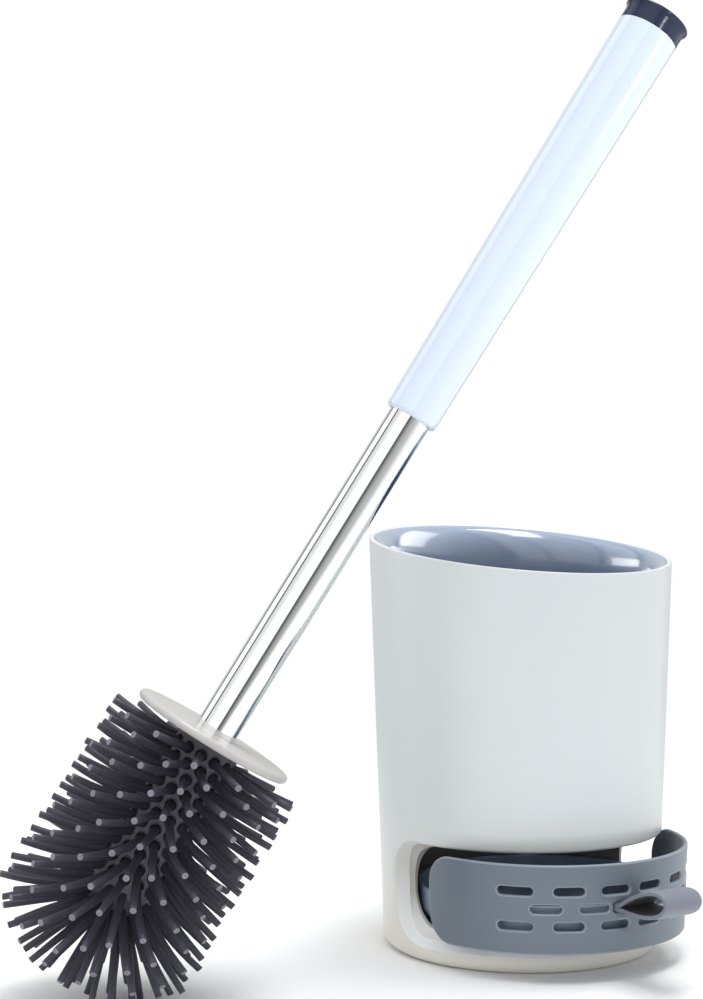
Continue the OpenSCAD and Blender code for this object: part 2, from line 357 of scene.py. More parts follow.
# the eased rim, the inner wall behind the liner and the ledge that the liner sits on
rim_steps = [(lambda t, z: wall_radius(z), lambda t: rim_line(t) - rim_ease)]
for k in range(1, 6):
    a = math.radians(90 * k / 5)
    rim_steps.append((lambda t, z, a=a: wall_radius(z) - rim_ease * (1 - math.cos(a)),
                      lambda t, a=a: rim_line(t) - rim_ease * (1 - math.sin(a))))
for k in range(0, 5):
    a = math.radians(90 * k / 4)
    rim_steps.append((lambda t, z, a=a: wall_radius(z) - shell_wall + rim_ease * (1 - math.sin(a)),
                      lambda t, a=a: rim_line(t) - rim_ease * (1 - math.cos(a))))
for f in (0.8, 0.55, 0.3, 0.0):
    rim_steps.append((lambda t, z: wall_radius(z) - shell_wall,
                      lambda t, f=f: seat + (rim_line(t) - 1 - seat) * f))
rings(shell, rim_steps + [(room_radius, seat)])
shell = shell.finish("cup_outer_shell", "holder", "outer_shell", weld=0.02)

# each finish: its two tones, how much of the foot's tone shows at two heights in tenths of a
# metre, and the foot's tone. On the outside the foot's tone is painted light, lighter and warmer
# towards the floor. The faces behind the window are a darker copy, painted shade, lighter low down
# with painted light; the rolled edge is a slightly darker copy, painted shade, whose foot's tone is
# a painted highlight where it faces up
finishes = (
    ("outside", (0.700, 0.750, 0.758), (0.738, 0.780, 0.784), ((0.10, 0.8), (0.55, 0)),
     (0.83, 0.80, 0.70, 1)),
    ("rolled edge", (0.66, 0.67, 0.64), (0.70, 0.71, 0.68), ((0.12, 1), (0.36, 0)),
     (0.93, 0.95, 0.95, 1)),
    ("inner faces, painted shade", (0.40, 0.385, 0.35), (0.47, 0.455, 0.42), ((0.13, 0.9), (0.24, 0)),
     (0.84, 0.85, 0.84, 1)))
for part, low, high, foot_light_spread, foot in finishes:
    satin = Finish.start(f"satin off-white plastic, {part}", Roughness=0.36, Coat_Weight=0.12,
                         Coat_Roughness=0.3, IOR=1.49)
    tone = satin.mottle(low, high, satin.grain(9.0, 3.0))
    height = satin.node("ShaderNodeSeparateXYZ", out=2, Vector=satin.place())
    # painted light: this mask brings in the lighter foot's tone low on the cup
    foot_light_mask = satin.node("ShaderNodeValToRGB", {"stops": [(at, (v, v, v)) for at, v in foot_light_spread]},
                           Fac=height / 0.1)
    tone = satin.blend(foot_light_mask, tone, foot)
    satin.feed(Base_Color=tone, Roughness=0.33 + satin.grain(60.0, 4.0) * 0.09,
               Normal=satin.pebble(satin.grain(1800.0, 2.0), 0.10, 0.0002))
    shell.data.materials.append(satin.material)


# ---- Liner -----------------------------------------------------------------------------------
# The well that the brush stands in: a polished slate-blue plastic cup dropped into the shell, its
# lip flush with the rim and its floor drained into the tray below.

liner_gap, liner_floor, liner_round = 0.1, 1.8, 7.0
below_rim, lip_ease, lip_deep = 0.3, 0.35, 12.0
well_radius, well_taper = 48.2, 0.0045   # inside radius above the floor's bend, and its widening
floor_z = seat + liner_floor
bend_z = floor_z + liner_round
bend_r = well_radius - liner_round


def liner_top(t, drop=0.0):
    return rim_line(t) - below_rim - drop


def liner_back(z):
    """Outside radius of the liner, just clear of the shell."""
    return wall_radius(z) - shell_wall - liner_gap


def well_at(z):
    return well_radius + well_taper * (z - bend_z)


def lip_in(z, a):
    """Radius of the rounded lip where it has turned down by the angle a."""
    start = liner_back(z) - lip_ease
    return start + (well_at(z) - start) * math.sin(a)


liner = Moulding()
steps = [(liner_back(seat), seat)]
for f in (0.3, 0.6, 1.0):
    steps.append((lambda t, z: liner_back(z),
                  lambda t, f=f: seat + (liner_top(t, lip_ease) - seat) * f))
for k in range(1, 5):
    a = math.radians(90 * k / 4)
    steps.append((lambda t, z, a=a: liner_back(z) - lip_ease * (1 - math.cos(a)),
                  lambda t, a=a: liner_top(t, lip_ease - lip_ease * math.sin(a))))
for k in range(1, 15):
    a = math.radians(90 * k / 14)
    steps.append((lambda t, z, a=a: lip_in(z, a),
                  lambda t, a=a: liner_top(t, lip_deep * (1 - math.cos(a)))))
for k in range(1, 21):
    f = 1 - k / 21
    steps.append((lambda t, z: well_at(z),
                  lambda t, f=f: bend_z + (liner_top(t, lip_deep) - bend_z) * f))
for k in range(0, 11):
    a = math.radians(90 * k / 10)
    steps.append((bend_r + liner_round * math.cos(a), bend_z - liner_round * math.sin(a)))
rings(liner, steps)
drains = [(0, 0, 3.0)] + [(14, 60 * k, 2.6) for k in range(6)] + [(28, 30 * k + 15, 2.6)
                                                                  for k in range(12)]
rounds = []
for r, turn, size in drains:
    cx, cy = r * math.cos(math.radians(turn)), r * math.sin(math.radians(turn))
    rounds.append([(cx + size * math.cos(math.tau * k / 20), cy + size * math.sin(math.tau * k / 20))
                   for k in range(20)])
disc = [p[:2] for p in ring_of(bend_r, 0)]
under = [p[:2] for p in ring_of(liner_back(seat), 0)]
fill = [(4.5 * x + 2.25 * (y % 2), 4.5 * y) for x in range(-11, 12) for y in range(-11, 12)]
for loop, z in ((disc, floor_z), (under, seat)):
    keep = [p for p in fill if math.hypot(*p) < max(x for x, _ in loop) - 2
            and all(math.hypot(p[0] - sum(q[0] for q in h) / 20,
                               p[1] - sum(q[1] for q in h) / 20) > 3.8 for h in rounds)]
    flat, tris = pierced_sheet(loop, rounds, keep)
    liner.sheet(flat, tris, lambda p: (p[0], p[1], z))
for h in rounds:
    liner.strip(liner.points([(*p, floor_z) for p in h]), liner.points([(*p, seat) for p in h]))
liner = liner.finish("cup_liner", "holder", "inner_liner", weld=0.02)

polish = Finish.start("polished slate-blue plastic", Roughness=0.2, Coat_Weight=0.8,
                      Coat_Roughness=0.16, IOR=1.5)
tone = polish.mottle((0.140, 0.182, 0.270), (0.165, 0.210, 0.300), polish.grain(7.0, 2.0),
                     at=(0.35, 0.65))
# painted highlight: the top band of the well under the rim is blended to a paler blue that stands in for
# reflected light; the tone below is the slate-blue itself
down = polish.node("ShaderNodeVectorMath", {"operation": "DOT_PRODUCT"}, out=1, i0=polish.place(),
                   i1=(0.0, -rim_slope, 1.0))
pale = polish.node("ShaderNodeValToRGB", {"stops": [(0.0, (0, 0, 0)), (0.9, (1, 1, 1))]},
                   Fac=(down - 0.1345) / 0.0145)
tone = polish.blend(pale, tone, (0.29, 0.355, 0.465, 1))
polish.feed(Base_Color=tone, Roughness=0.08 + polish.grain(45.0, 3.0) * 0.08,
            Normal=polish.pebble(polish.grain(14.0, 1.0), 0.03, 0.002))
liner.data.materials.append(polish.material)


# ---- Drip pan --------------------------------------------------------------------------------
# A round dish in smooth light slate plastic that catches the drips. The flange of the tray's front
# carries it, just clear of the runners in the cup's foot.

tray_out = 14.5
pan_radius, pan_foot, pan_lip, pan_wall, pan_round = 46.8, 14.0, 26.2, 1.5, 5.0
tray_at = Matrix.Translation((0, -tray_out * 0.001, 0))

pan = Moulding()
steps = [(8, pan_foot), (24, pan_foot)]
hub = pan_radius - pan_round
for k in range(0, 13):
    a = math.radians(90 * k / 12)
    steps.append((hub + pan_round * math.sin(a), pan_foot + pan_round * (1 - math.cos(a))))
bead = pan_wall / 2
steps += [(pan_radius, pan_foot + pan_round + 1.2)]
for k in range(0, 9):
    a = math.radians(180 * k / 8)
    steps.append((pan_radius - bead + bead * math.cos(a), pan_lip - bead + bead * math.sin(a)))
for k in range(0, 13):
    a = math.radians(90 - 90 * k / 12)
    steps.append((hub + (pan_round - pan_wall) * math.sin(a),
                  pan_foot + pan_round - (pan_round - pan_wall) * math.cos(a)))
steps += [(24, pan_foot + pan_wall), (8, pan_foot + pan_wall)]
made = rings(pan, steps)
pan.mesh.faces.new(made[0])
pan.mesh.faces.new(made[-1])
pan = pan.finish("drip_pan", "tray", "tray_pan", at=tray_at)

dish = Finish.start("smooth light slate plastic", Roughness=0.24, Coat_Weight=0.2, IOR=1.5)
tone = dish.mottle((0.25, 0.32, 0.41), (0.30, 0.37, 0.46), dish.grain(11.0, 2.0))
dish.feed(Base_Color=tone, Roughness=0.20 + dish.grain(70.0, 3.0) * 0.1,
          Normal=dish.pebble(dish.grain(900.0, 2.0), 0.05, 0.0002))
pan.data.materials.append(dish.material)


# ---- Slotted front ---------------------------------------------------------------------------
# The tray's half-round front: a slate-grey satin moulding with rounded corners and three rows of
# drain slots. The pull loop comes out of the middle one, and a flange under it carries the pan.

front = dict(half=unroll * math.radians(88.3), low=10.3, high=41.6, corner=10.6)
front_wall, front_ease = 1.7, 0.66
rows = (32.3, 26.2, 20.1)
slot_long, slot_high, loop_slot = 11.0, 2.9, (18.6, 4.0)


def slot_line(u, z, length, height, grow=0.0, ends=9, along=5):
    """A long round-ended slot, drawn with its straight sides divided."""
    r, half = height / 2, length / 2 - height / 2
    line = []
    for cx, start in ((half, -90), (-half, 90)):
        for k in range(ends + 1):
            a = math.radians(start + 180 * k / ends)
            line.append((u + cx + (r + grow) * math.cos(a), z + (r + grow) * math.sin(a)))
        for k in range(1, along):
            f = k / along
            line.append((u + cx - 2 * cx * f, z + (r + grow) * (1 if cx > 0 else -1)))
    return line


fascia = Moulding()
slots = [(side * a, z, slot_long + extra) for z in (rows[0], rows[2]) for side in (-1, 1)
         for a, extra in ((8.5, 0), (27.5, 0), (48.3, 1.6))]
slots += [(side * a, rows[1], slot_long) for side in (-1, 1) for a in (17.3, 36.4)]
slots = [(unroll * math.radians(a), z, long, slot_high) for a, z, long in slots]
slots.append((0, rows[1], *loop_slot))
outline = rounded_window(**front, steps=12, flats=(90, 8))


def front_edge(inset, depth):
    return [(u - n[0] * inset, z - n[1] * inset, depth) for (u, z), n in outline]


def front_fill(margin):
    """Points that divide the front's skin, kept off its border and its slots."""
    out = []
    for i in range(-44, 45):
        for k in range(0, 14):
            u, z = i * 1.75 + 0.6 * (k % 2), 12.2 + k * 2.15
            if abs(u) > front["half"] - 3 or any(abs(u - s[0]) < s[2] / 2 + margin
                                                 and abs(z - s[1]) < s[3] / 2 + margin for s in slots):
                continue
            if abs(u) > front["half"] - 12 and (z < 23 or z > 30):
                du, dz = abs(u) - (front["half"] - 11), max(21.5 - z, z - 30.5)
                if math.hypot(max(du, 0), max(dz, 0)) > 8.6:
                    continue
            out.append((u, z))
    return out


ease = 0.95
slot_steps = [(ease * (1 - math.sin(math.radians(a))), ease * (1 - math.cos(math.radians(a))))
              for a in (0, 22, 45, 68, 90)] + [(0.0, front_wall - 0.25), (0.2, front_wall)]
faces = ((front_edge(front_ease, 0.0), slot_steps[0]), (front_edge(front_ease, front_wall),
                                                       slot_steps[-1]))
for rim, (grow, depth) in faces:
    holes = [slot_line(*s, grow=grow) for s in slots]
    flat, tris = pierced_sheet([p[:2] for p in rim], holes, front_fill(1.4))
    fascia.sheet(flat, tris, lambda p: on_wall(*p, depth))
eased = []
for s in slots:
    ledges = [fascia.points([on_wall(*p, depth) for p in slot_line(*s, grow=grow)])
              for grow, depth in slot_steps]
    for one, other in zip(ledges, ledges[1:]):
        fascia.strip(one, other)
    eased += ledges[2:4]
turns = [fascia.points([on_wall(*p) for p in front_edge(
    front_ease * (1 - math.sin(math.radians(a))),
    front_wall / 2 * (1 - math.cos(math.radians(a))))]) for a in range(0, 181, 20)]
for one, other in zip(turns, turns[1:]):
    fascia.strip(one, other)
# painted highlight: the eased slot edges and the rounded top of the front take the lighter slate copy,
# standing in for light caught on them
for f in {f for ring in eased + turns[1:4] for v in ring for f in v.link_faces}:
    f.material_index = 1
# the flange under the pan
flange = []
for r, z in ((38, 12.8), (51.0, 12.8), (51.05, 14.0), (38, 14.0)):
    flange.append(fascia.points([(r * math.sin(math.radians(a)), -r * math.cos(math.radians(a)), z)
                                 for a in range(-40, 41, 2)]))
for one, other in zip(flange, flange[1:] + flange[:1]):
    fascia.strip(one, other, closed=False)
for end in (0, -1):
    fascia.face(*[line[end] for line in flange])
fascia = fascia.finish("tray_slotted_front", "tray", "tray_front", crease=50, weld=0.01, at=tray_at)

# the eased edges' tones are the face's slate lightened as painted highlight
for part, low, high in (("face", (0.140, 0.172, 0.210), (0.162, 0.196, 0.234)),
                        ("eased edges", (0.235, 0.275, 0.32), (0.28, 0.32, 0.37))):
    slate = Finish.start(f"satin slate plastic, {part}", Roughness=0.4, Coat_Weight=0.08, IOR=1.48)
    tone = slate.mottle(low, high, slate.grain(12.0, 3.0))
    slate.feed(Base_Color=tone, Roughness=0.36 + slate.grain(90.0, 3.0) * 0.1,
               Normal=slate.pebble(slate.grain(2200.0, 2.0), 0.10, 0.0002))
    fascia.data.materials.append(slate.material)


# ---- Pull loop -------------------------------------------------------------------------------
# A soft silicone strip folded into a drop and pushed through the middle slot. Its two plies meet
# in the neck, and a foot behind the wall stops it from coming out again.

loop_reach, loop_wide, loop_start, loop_half, strip = 25.9, 16.2, 1.2, 3.25, 1.5
loop_tilt = math.radians(13)
front_y = wall_radius(rows[1])

strap = Moulding()


def drop(t, out=0.0):
    """A point of the drop's inner outline, or of its outer one, in the upright plane."""
    long, high = (loop_reach - strip - loop_start) / 2, loop_half / 0.77
    x, y = loop_start + long * (1 - math.cos(t)), high * math.sin(t) * math.sin(t / 2)
    dx = long * math.sin(t)
    dy = high * (math.cos(t) * math.sin(t / 2) + math.sin(t) * math.cos(t / 2) / 2)
    size = math.hypot(dx, dy) or 1
    x, y = x - dy / size * out, y + dx / size * out
    return Vector((-(x * math.cos(loop_tilt) - y * math.sin(loop_tilt)),
                   x * math.sin(loop_tilt) + y * math.cos(loop_tilt)))


steps_round = 64
turns_in = [math.tau * k / steps_round for k in range(steps_round + 1)]
turns_out = [math.radians(16) + math.radians(328) * k / steps_round for k in range(steps_round + 1)]
inner = [drop(0)] * 3 + [drop(t) for t in turns_in] + [drop(0)] * 3
outer = [Vector((x, strip)) for x in (0.6, 0.1, -0.3)] + [drop(t, strip) for t in turns_out]
outer += [Vector((x, -strip)) for x in (-0.3, 0.1, 0.6)]
across = [(-1.0, 0.42), (-0.975, 0.12), (-0.93, 0.0), (-0.6, 0.0), (-0.2, 0.0), (0.2, 0.0),
          (0.6, 0.0), (0.93, 0.0), (0.975, 0.12), (1.0, 0.42)]
middle = [(a + b) / 2 for a, b in zip(outer, inner)]
skins = []
for line in (outer, inner):
    skin = []
    for f, sink in across:
        skin.append(strap.points([(f * loop_wide / 2, -front_y + p.x + (m - p).x * sink,
                                   rows[1] + p.y + (m - p).y * sink)
                                  for p, m in zip(line, middle)]))
    for one, other in zip(skin, skin[1:]):
        strap.strip(one, other, closed=False)
    skins.append(skin)
# painted shade: the inner skin of the drop takes a near-black copy of the silicone for the shade inside the
# loop
for f in {f for row in skins[1][3:-3] for v in row for f in v.link_faces}:
    f.material_index = 1
for end in (0, -1):
    strap.strip(skins[0][end], skins[1][end], closed=False)
half = loop_wide / 2
strap.block((-half, -front_y - 1.0, rows[1] - strip), (half, -front_y + 3.0, rows[1] + strip), 0.3)
strap.block((-half, -front_y + 2.7, rows[1] - 3.6), (half, -front_y + 4.2, rows[1] + 3.6), 0.4)
strap = strap.finish("pull_loop_strip", "tray", "pull_loop", crease=55, weld=0.002, at=tray_at)

# the inside tones are the silicone darkened as painted shade
for part, low, high in (("outside", (0.190, 0.203, 0.250), (0.230, 0.244, 0.298)),
                        ("inside", (0.045, 0.046, 0.060), (0.060, 0.062, 0.078))):
    soft = Finish.start(f"soft slate silicone, {part}", Roughness=0.45, IOR=1.42, Sheen_Weight=0.08)
    tone = soft.mottle(low, high, soft.grain(40.0, 3.0))
    soft.feed(Base_Color=tone, Roughness=0.4 + soft.grain(160.0, 3.0) * 0.14,
              Normal=soft.pebble(soft.grain(1400.0, 2.0), 0.12, 0.0002))
    strap.data.materials.append(soft.material)


# ---- Steel tube ------------------------------------------------------------------------------
# The shaft of the brush: a thin drawn steel tube, chromed to a mirror. Everything on the brush is
# turned round its axis, then set down leaning with the bristles on the floor.

brush_long = 385.0
lean = (Matrix.Translation((-0.1815, 0.011, 0.00656)) @ Matrix.Rotation(math.radians(-25), 4, "Z")
        @ Matrix.Rotation(math.radians(31.9), 4, "Y"))
tube_radius, tube_low, tube_high = 7.4, 90.2, brush_long - 27


def turned(piece, profile, sides=96, close=True):
    """Turns a profile of (radius, station) round the brush's axis."""
    lines = []
    for r, s in profile:
        lines.append(piece.points([(r * math.cos(math.tau * k / sides),
                                    r * math.sin(math.tau * k / sides), s) for k in range(sides)]))
    for one, other in zip(lines, lines[1:]):
        piece.strip(one, other)
    if close:
        piece.strip(lines[-1], lines[0])
    return lines


def along(low, high, count):
    return [low + (high - low) * k / count for k in range(count + 1)]


tube = Moulding()
turned(tube, [(tube_radius, s) for s in along(tube_low, tube_high, 24)]
       + [(tube_radius - 0.6, s) for s in along(tube_high, tube_low, 24)])
tube = tube.finish("chromed_tube", "brush", "steel_tube", at=lean)

chrome = Finish.start("mirror chrome", Metallic=1.0, Roughness=0.05,
                      Base_Color=(0.86, 0.865, 0.875, 1))
tone = chrome.mottle((0.83, 0.835, 0.845), (0.88, 0.885, 0.89), chrome.grain(26.0, 2.0))
chrome.feed(Base_Color=tone, Roughness=0.035 + chrome.grain(120.0, 4.0) * 0.04,
            Normal=chrome.pebble(chrome.grain(22.0, 1.0), 0.015, 0.001))
tube.data.materials.append(chrome.material)


# ---- Tube plug and head core -----------------------------------------------------------------
# Out of sight: the plug pressed into the tube's lower end, and the stiff core that screws into it
# and holds the soft sleeve. Both are plain moulded plastic.

core_radius, core_low = 7.4, 30.0
plug = Moulding()
turned(plug, [(2.9, tube_low), (6.5, tube_low), (6.75, tube_low + 0.4), (6.75, tube_low + 22),
              (2.9, tube_low + 22)])
plug = plug.finish("tube_plug_insert", "brush", "tube_plug", at=lean)
core = Moulding()
profile = [(0.6, core_low)]
for k in range(1, 10):
    a = math.radians(90 * k / 9)
    profile.append((core_radius * math.sin(a), core_low + core_radius * (1 - math.cos(a))))
profile += [(core_radius, tube_low - 1), (core_radius - 0.5, tube_low), (2.8, tube_low),
            (2.8, tube_low + 15.4), (2.3, tube_low + 16), (0.6, tube_low + 16)]
lines = turned(core, profile, close=False)
core.mesh.faces.new(lines[0])
core.mesh.faces.new(lines[-1])
core = core.finish("head_core_post", "brush", "head_core", at=lean)
for piece, dark, light in ((plug, (0.60, 0.60, 0.57), (0.68, 0.68, 0.65)),
                           (core, (0.050, 0.052, 0.066), (0.070, 0.072, 0.088))):
    plain = Finish.start(f"plain moulded plastic of the {piece.name.split('_')[0]}", Roughness=0.5)
    tone = plain.mottle(dark, light, plain.grain(30.0, 3.0))
    plain.feed(Base_Color=tone, Roughness=0.45 + plain.grain(90.0, 2.0) * 0.15)
    piece.data.materials.append(plain.material)


# ---- Splash plate ----------------------------------------------------------------------------
# A thick off-white plastic disc that keeps water off the hand. It is threaded on the tube and
# rests on the end of the bristle sleeve.

plate_low, plate_thick, plate_radius = 94.8, 2.7, 28.8
plate = Moulding()
profile = [(tube_radius + 0.1, plate_low), (14, plate_low), (plate_radius - 1.3, plate_low)]
for k in range(1, 12):
    a = math.radians(-90 + 180 * k / 12)
    profile.append((plate_radius - 1.0 + 1.0 * math.cos(a),
                    plate_low + plate_thick / 2 + plate_thick / 2 * math.sin(a)))
profile += [(plate_radius - 1.3, plate_low + plate_thick), (14, plate_low + plate_thick),
            (tube_radius + 0.1, plate_low + plate_thick)]
turned(plate, profile, sides=160)
plate = plate.finish("splash_plate_disc", "brush", "splash_plate", at=lean)

cream = Finish.start("smooth warm white plastic", Roughness=0.3, Coat_Weight=0.15, IOR=1.48)
tone = cream.mottle((0.51, 0.505, 0.485), (0.57, 0.56, 0.54), cream.grain(18.0, 4.0))
cream.feed(Base_Color=tone, Roughness=0.27 + cream.grain(80.0, 3.0) * 0.12,
           Normal=cream.pebble(cream.grain(1500.0, 2.0), 0.06, 0.0002))
plate.data.materials.append(cream.material)


# ---- Handle grip -----------------------------------------------------------------------------
# A polished cool-white plastic sleeve over the upper half of the tube. It widens a little
# towards the top and is rounded at its lower end.

grip_narrow, grip_wide, grip_low, grip_high = 9.3, 11.0, brush_long - 163, brush_long - 7
grip = Moulding()
profile = [(tube_radius + 0.1, grip_low + 0.3), (tube_radius + 0.4, grip_low)]
for k in range(0, 9):
    a = math.radians(90 * k / 8)
    profile.append((grip_narrow - 1.1 * (1 - math.sin(a)), grip_low + 1.4 * (1 - math.cos(a))))
profile += [(grip_narrow + (grip_wide - grip_narrow) * (s - grip_low) / (grip_high - grip_low), s)
            for s in along(grip_low + 6, grip_high, 20)]
turned(grip, profile + [(tube_radius + 0.1, grip_high), (tube_radius + 0.1, grip_low + 40)])
grip = grip.finish("handle_grip_sleeve", "brush", "handle_grip", at=lean)

white = Finish.start("polished cool white plastic", Roughness=0.12, Coat_Weight=0.6,
                     Coat_Roughness=0.03, IOR=1.5)
tone = white.mottle((0.665, 0.755, 0.885), (0.70, 0.785, 0.905), white.grain(8.0, 2.0))
white.feed(Base_Color=tone, Roughness=0.10 + white.grain(60.0, 3.0) * 0.06,
           Normal=white.pebble(white.grain(16.0, 1.0), 0.02, 0.002))
grip.data.materials.append(white.material)


# ---- End cap ---------------------------------------------------------------------------------
# A dark slate plastic plug that closes the grip. It flares out to a thin lip at the very end.

cap = Moulding()
profile = [(0.8, grip_high - 16), (tube_radius - 0.2, grip_high - 16), (tube_radius, grip_high - 14),
           (tube_radius, grip_high), (grip_wide - 0.25, grip_high), (grip_wide - 0.05, grip_high + 0.12),
           (grip_wide, grip_high + 0.35), (grip_wide - 0.05, grip_high + 2.2), (grip_wide, grip_high + 4.2)]
profile += [(grip_wide + 0.85 * (k / 6) ** 1.8, grip_high + 4.2 + 1.9 * k / 6) for k in range(1, 7)]
profile += [(grip_wide + 0.88, grip_high + 6.45), (grip_wide + 0.7, brush_long - 0.18),
            (grip_wide + 0.3, brush_long), (grip_wide - 1.0, brush_long), (grip_wide - 1.8, brush_long - 0.5),
            (0.8, brush_long - 0.6)]
lines = turned(cap, profile, sides=128, close=False)
cap.mesh.faces.new(lines[0])
cap.mesh.faces.new(lines[-1])
cap = cap.finish("handle_end_cap", "brush", "end_cap", crease=45, at=lean)

ink = Finish.start("glossy dark slate plastic", Roughness=0.16, IOR=1.36)
tone = ink.mottle((0.016, 0.022, 0.050), (0.024, 0.031, 0.064), ink.grain(20.0, 3.0))
ink.feed(Base_Color=tone, Roughness=0.13 + ink.grain(70.0, 3.0) * 0.08,
         Normal=ink.pebble(ink.grain(700.0, 2.0), 0.05, 0.0002))
cap.data.materials.append(ink.material)


# ---- Bristle sleeve --------------------------------------------------------------------------
# One dark silicone moulding over the core: a sleeve pitted with round sockets, the web between
# them standing proud, and a long tapered bristle growing out of each socket.

random.seed(41)
sleeve_radius, sleeve_low, sleeve_high, bristle_reach = 11.6, 25.4, 94.5, 36.6
ring_first, ring_pitch, ring_count, per_ring = 33.0, 4.72, 13, 14
socket_radius, socket_deep = 2.38, 1.5
dome_at = sleeve_low + sleeve_radius

head = Moulding()


def bristle(root, way, long, lift):
    """A tapered, slightly bowed bristle with a flat end that is dimpled in the middle."""
    side = way.orthogonal().normalized()
    up = way.cross(side)
    sway = (side * random.uniform(-1, 1) + up * random.uniform(-1, 1)) * 0.9
    lines, sides = [], 10
    for k in range(8):
        f = k / 7
        centre = root + way * long * f + lift * math.sin(math.pi * f) + sway * f * f
        r = 1.5 - 0.38 * f
        lines.append(head.points([centre + (side * math.cos(math.tau * j / sides)
                                            + up * math.sin(math.tau * j / sides)) * r
                                  for j in range(sides)]))
    tip = root + way * long + sway
    for sink, r in ((0.12, 1.0), (0.12, 0.62), (-0.02, 0.45)):
        lines.append(head.points([tip + way * sink + (side * math.cos(math.tau * j / sides)
                                                      + up * math.sin(math.tau * j / sides)) * r
                                  for j in range(sides)]))
    for one, other in zip(lines, lines[1:]):
        head.strip(one, other)
    head.mesh.faces.new(lines[-1])
    # painted highlight: the flat end takes the lighter tips copy of the silicone
    for f in {f for ring in lines[-3:] for v in ring for f in v.link_faces}:
        f.material_index = 1


def socket(line, centre, normal):
    """The raised lip, walls and floor of the pit round a bristle's root."""
    rings_down = [head.points(line)]
    for pull, deep in ((0.96, -0.22), (0.89, -0.32), (0.82, -0.2), (0.79, 0.2), (0.77, socket_deep),
                       (0.4, socket_deep + 0.1)):
        rings_down.append(head.points([centre + (p - centre) * pull - normal * deep for p in line]))
    for one, other in zip(rings_down, rings_down[1:]):
        head.strip(one, other)
    head.mesh.faces.new(rings_down[-1])
    # painted light: the lip and upper wall take the lighter web copy; the pit below keeps the silicone's
    # plain dark tone
    for f in {f for ring in rings_down[:3] for v in ring for f in v.link_faces}:
        f.material_index = 2


# the straight part of the sleeve, laid out flat
sides = 112
wide = math.tau * sleeve_radius
pits = []
for i in range(ring_count):
    for j in range(per_ring):
        pits.append((((j + (i % 2) / 2 + 0.25) / per_ring) % 1, ring_first + ring_pitch * i, i))


def on_sleeve(p, lift=0.0):
    a = math.tau * p[0] / wide
    return Vector(((sleeve_radius + lift) * math.cos(a), (sleeve_radius + lift) * math.sin(a), p[1]))


rounds = []
for f, s, _ in pits:
    if s - socket_radius > dome_at + 0.2 and s + socket_radius < sleeve_high - 0.2:
        u = f * wide
        if u - socket_radius > 0.1 and u + socket_radius < wide - 0.1:
            rounds.append([(u + socket_radius * math.cos(math.tau * k / 16),
                            s + socket_radius * math.sin(math.tau * k / 16)) for k in range(16)])
base = [wide * k / sides for k in range(sides + 1)]
heights = along(dome_at, sleeve_high, 36)
border = [(u, dome_at) for u in base] + [(wide, z) for z in heights[1:-1]]
border += [(u, sleeve_high) for u in reversed(base)] + [(0, z) for z in reversed(heights[1:-1])]
flat, tris = pierced_sheet(border, rounds, [])
head.sheet(flat, tris, on_sleeve)
# painted light: the proud web takes a lighter copy of the silicone
for f in head.mesh.faces:
    f.material_index = 2
for line in rounds:
    middle = Vector((sum(p[0] for p in line) / 16, sum(p[1] for p in line) / 16))
    normal = on_sleeve(middle).copy()
    normal.z = 0
    socket([on_sleeve(p) for p in line], on_sleeve(middle), normal.normalized())
# the domed end and the ring that closes the top against the plate
profile = [(sleeve_radius * math.sin(math.radians(a)), dome_at - sleeve_radius * math.cos(math.radians(a)))
           for a in range(6, 91, 6)]
lines = turned(head, profile, sides=sides, close=False)
head.mesh.faces.new(lines[0])
turned(head, [(sleeve_radius, sleeve_high), (core_radius + 0.1, sleeve_high),
              (core_radius + 0.1, sleeve_high - 8)], sides=sides, close=False)
for f, s, i in pits:
    tilt = math.radians(24 * (1 - i / (ring_count - 1)) ** 1.4)
    a = math.tau * f
    way = Vector((math.cos(a) * math.cos(tilt), math.sin(a) * math.cos(tilt), -math.sin(tilt)))
    way = (way + Vector([random.uniform(-0.03, 0.03) for _ in range(3)])).normalized()
    root = Vector((math.cos(a), math.sin(a), 0)) * (sleeve_radius - socket_deep - 0.3) + Vector((0, 0, s))
    reach = bristle_reach / math.cos(tilt) - random.uniform(0.3, 1.3) - (sleeve_radius - socket_deep)
    bristle(root, way, reach, Vector((0, 0, -1)) * random.uniform(0.2, 1.3))
for down, count, reach in ((34, 14, 40), (48, 12, 39.2), (62, 9, 38.4), (76, 5, 37.6), (90, 1, 37)):
    for j in range(count):
        a, b = math.tau * (j + down / 40) / count, math.radians(down)
        way = Vector((math.cos(a) * math.cos(b), math.sin(a) * math.cos(b), -math.sin(b)))
        root = Vector((0, 0, dome_at)) + way * (sleeve_radius - 0.8)
        long = reach - sleeve_radius + 0.6 - random.uniform(0.4, 1.4)
        bristle(root, way, long, way.orthogonal().normalized() * random.uniform(-0.8, 0.8))
head = head.finish("silicone_bristle_head", "brush", "bristle_sleeve", crease=48, weld=0.0, at=lean)

for v in head.data.vertices:
    v.co.z = max(v.co.z, 0.00003)
# the bristles' tones are the silicone's own; the tips and the web are lighter copies of it, painted highlight
# and painted light
for part, low, high in (("bristles", (0.046, 0.044, 0.062), (0.070, 0.066, 0.090)),
                        ("bristle tips", (0.19, 0.18, 0.215), (0.26, 0.245, 0.29)),
                        ("sleeve web, painted light", (0.095, 0.090, 0.112), (0.135, 0.128, 0.155))):
    dark = Finish.start(f"dark slate silicone, {part}", Roughness=0.42, IOR=1.41)
    tone = dark.mottle(low, high, dark.grain(60.0, 3.0))
    dark.feed(Base_Color=tone, Roughness=0.36 + dark.grain(200.0, 3.0) * 0.16,
              Normal=dark.pebble(dark.grain(1500.0, 2.0), 0.08, 0.0002))
    head.data.materials.append(dark.material)


# ---- Floor, lights and camera ----------------------------------------------------------------
# A pale floor that fades out into a white room, one strip lamp overhead, four panels that each
# light one piece, and the light and dark cards that chrome and gloss mirror.

